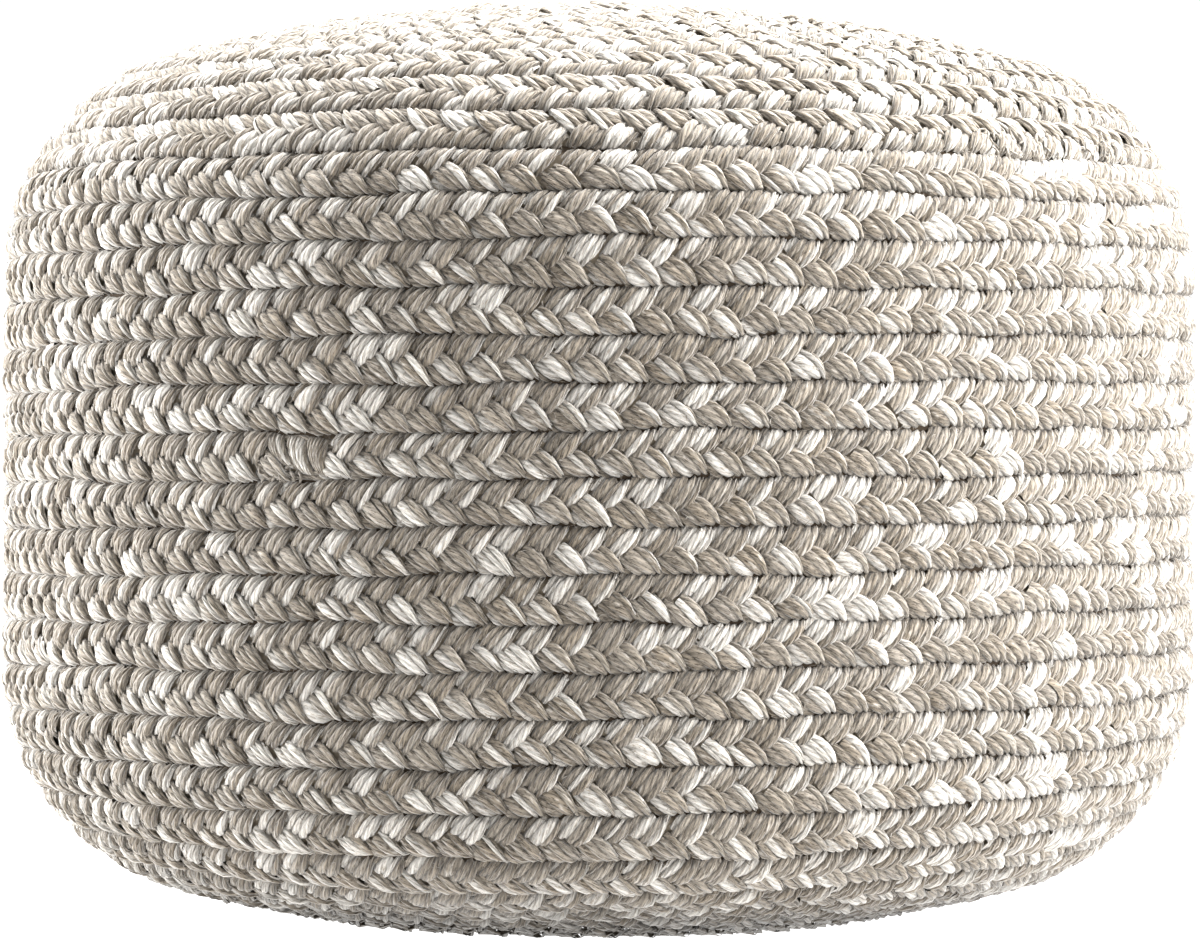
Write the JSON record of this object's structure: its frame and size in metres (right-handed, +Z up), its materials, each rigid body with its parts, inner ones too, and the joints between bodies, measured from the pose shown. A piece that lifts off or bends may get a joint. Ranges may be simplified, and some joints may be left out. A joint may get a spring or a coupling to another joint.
{
  "type": "braided pouf",
  "caption": "Round, firm floor pouf in coiled flat braid of heather taupe and off-white yarn, with a crowned top, upright wall and drawn-in base.",
  "frame": {"origin": "on the floor, under the middle of the pouf", "axes": "+Z up; -Y is the front as pictured, +X to its right"},
  "size_m": [0.509, 0.508, 0.3875],
  "materials": {
    "braided_yarn": "matt flat-braided spun yarn, heather taupe with off-white flecks, rows stitched edge to edge"
  },
  "bodies": {
    "root": {"top_panel": "braided_yarn", "side_wall": "braided_yarn", "base_panel": "braided_yarn"}
  },
  "joints": []
}
